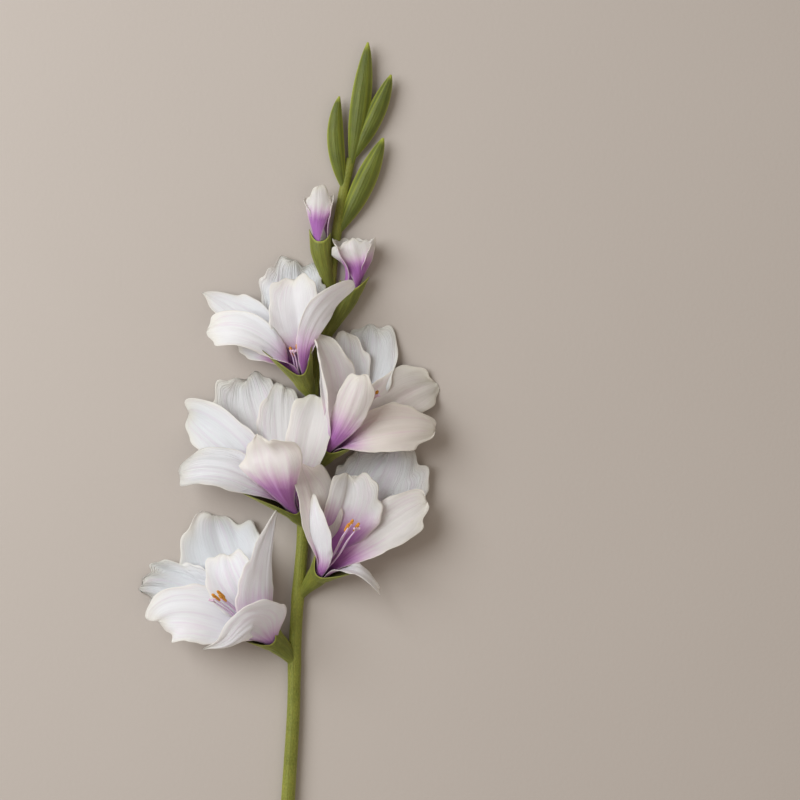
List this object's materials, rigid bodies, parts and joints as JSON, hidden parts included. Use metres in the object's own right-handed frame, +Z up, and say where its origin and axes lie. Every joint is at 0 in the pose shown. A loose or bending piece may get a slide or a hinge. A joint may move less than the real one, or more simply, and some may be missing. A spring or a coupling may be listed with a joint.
{
  "type": "gladiolus flower spike",
  "caption": "Cut gladiolus spike lying down: green stem with open white flowers tinged lilac at the throat, opening buds and closed green buds towards the tip.",
  "frame": {"origin": "middle of the underside, on the table", "axes": "+Y runs up the stem from the cut end to the topmost bud, +X is to the right seen from above, +Z is up from the table"},
  "size_m": [0.1914, 0.6024, 0.0615],
  "materials": {
    "stalk": "smooth olive green plant stem with a soft waxy sheen",
    "bract": "olive green bract with fine lengthwise veins",
    "bud": "deep green folded bud with lighter edges",
    "tepal": "soft matt white petal, lilac towards the throat",
    "stamen": "powdery orange yellow anthers on pale filaments"
  },
  "bodies": {
    "root": {"stem": "stalk", "flower_1_bract": "bract", "flower_1_tepal_1": "tepal", "flower_1_tepal_2": "tepal", "flower_1_tepal_3": "tepal", "flower_1_tepal_4": "tepal", "flower_1_tepal_5": "tepal", "flower_1_tepal_6": "tepal", "flower_1_stamens": "stamen", "flower_2_bract": "bract", "flower_2_tepal_1": "tepal", "flower_2_tepal_2": "tepal", "flower_2_tepal_3": "tepal", "flower_2_tepal_4": "tepal", "flower_2_tepal_5": "tepal", "flower_2_tepal_6": "tepal", "flower_2_stamens": "stamen", "flower_3_bract": "bract", "flower_3_tepal_1": "tepal", "flower_3_tepal_2": "tepal", "flower_3_tepal_3": "tepal", "flower_3_tepal_4": "tepal", "flower_3_tepal_5": "tepal", "flower_3_tepal_6": "tepal", "flower_3_stamens": "stamen", "flower_4_bract": "bract", "flower_4_tepal_1": "tepal", "flower_4_tepal_2": "tepal", "flower_4_tepal_3": "tepal", "flower_4_tepal_4": "tepal", "flower_4_tepal_5": "tepal", "flower_4_tepal_6": "tepal", "flower_4_stamens": "stamen", "flower_5_bract": "bract", "flower_5_tepal_1": "tepal", "flower_5_tepal_2": "tepal", "flower_5_tepal_3": "tepal", "flower_5_tepal_4": "tepal", "flower_5_tepal_5": "tepal", "flower_5_tepal_6": "tepal", "flower_5_stamens": "stamen", "bud_1_bract": "bract", "bud_1_tepal_1": "tepal", "bud_1_tepal_2": "tepal", "bud_1_tepal_3": "tepal", "bud_2_bract": "bract", "bud_2_tepal_1": "tepal", "bud_2_tepal_2": "tepal", "bud_2_tepal_3": "tepal", "closed_bud_1": "bud", "closed_bud_2": "bud", "closed_bud_3": "bud", "closed_bud_4": "bud"}
  },
  "joints": []
}
